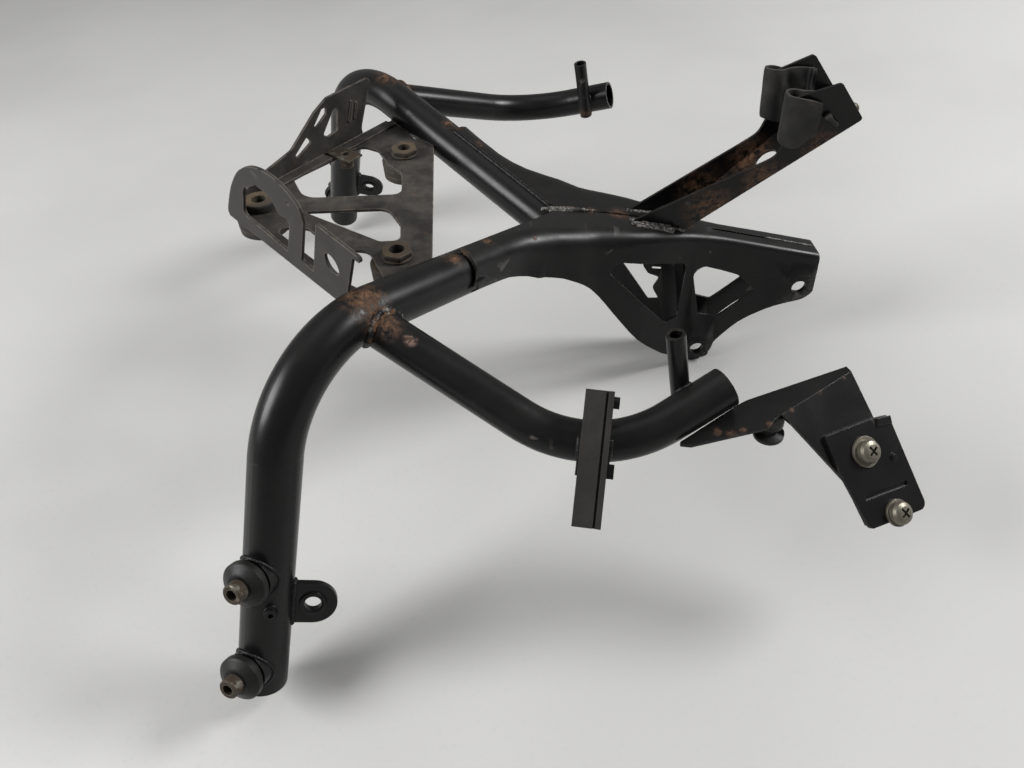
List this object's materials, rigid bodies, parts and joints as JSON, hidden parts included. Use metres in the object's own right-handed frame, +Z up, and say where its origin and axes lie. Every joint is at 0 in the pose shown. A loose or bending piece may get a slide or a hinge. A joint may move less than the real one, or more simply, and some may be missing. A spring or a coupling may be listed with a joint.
{
  "type": "motorcycle fairing stay",
  "caption": "Welded tube stay that bolts to the steering head and carries a meter, headlamp and front fairing.",
  "frame": {"origin": "axis of the upper headstock bolt, on the plane of symmetry of the tubes", "axes": "+X back towards the steering head and the rider, +Y to the rider's right, +Z up"},
  "size_m": [0.4051, 0.5388, 0.2278],
  "materials": {
    "black_steel": "satin black paint, scuffed, rusty at the welds",
    "bracket_steel": "satin black paint under grey-brown dust",
    "rubber": "matt black rubber, dusty",
    "zinc_steel": "dull zinc, tarnished"
  },
  "bodies": {
    "root": {"neck_shell_left": "black_steel", "neck_shell_right": "black_steel", "main_tube_left": "black_steel", "main_tube_right": "black_steel", "branch_tube_left": "black_steel", "branch_tube_right": "black_steel", "spigot_left": "black_steel", "spigot_right": "black_steel", "meter_plate": "bracket_steel", "meter_flange_left": "bracket_steel", "meter_flange_right": "bracket_steel", "clip_nut": "zinc_steel", "grommet_front": "rubber", "grommet_rear_left": "rubber", "grommet_rear_right": "rubber", "cup_left_upper": "black_steel", "cup_left_lower": "black_steel", "cup_right_upper": "black_steel", "cup_right_lower": "black_steel", "bobbin_left_upper": "rubber", "bobbin_left_lower": "rubber", "bobbin_right_upper": "rubber", "bobbin_right_lower": "rubber", "insert_left_upper": "zinc_steel", "insert_left_lower": "zinc_steel", "insert_right_upper": "zinc_steel", "insert_right_lower": "zinc_steel", "leg_tab_left": "black_steel", "leg_tab_right": "black_steel", "tab_nut_left": "black_steel", "tab_nut_right": "black_steel", "leg_pin_left": "black_steel", "leg_pin_right": "black_steel", "channel_arm": "black_steel", "channel_pad_left": "rubber", "channel_pad_right": "rubber", "channel_bolt": "zinc_steel", "strip_block": "black_steel", "rubber_strip": "rubber", "side_bracket": "black_steel", "nut_plate": "black_steel", "side_screw_upper": "zinc_steel", "side_screw_lower": "zinc_steel", "side_washer_upper": "zinc_steel", "side_washer_lower": "zinc_steel", "well_nut": "rubber"}
  },
  "joints": []
}
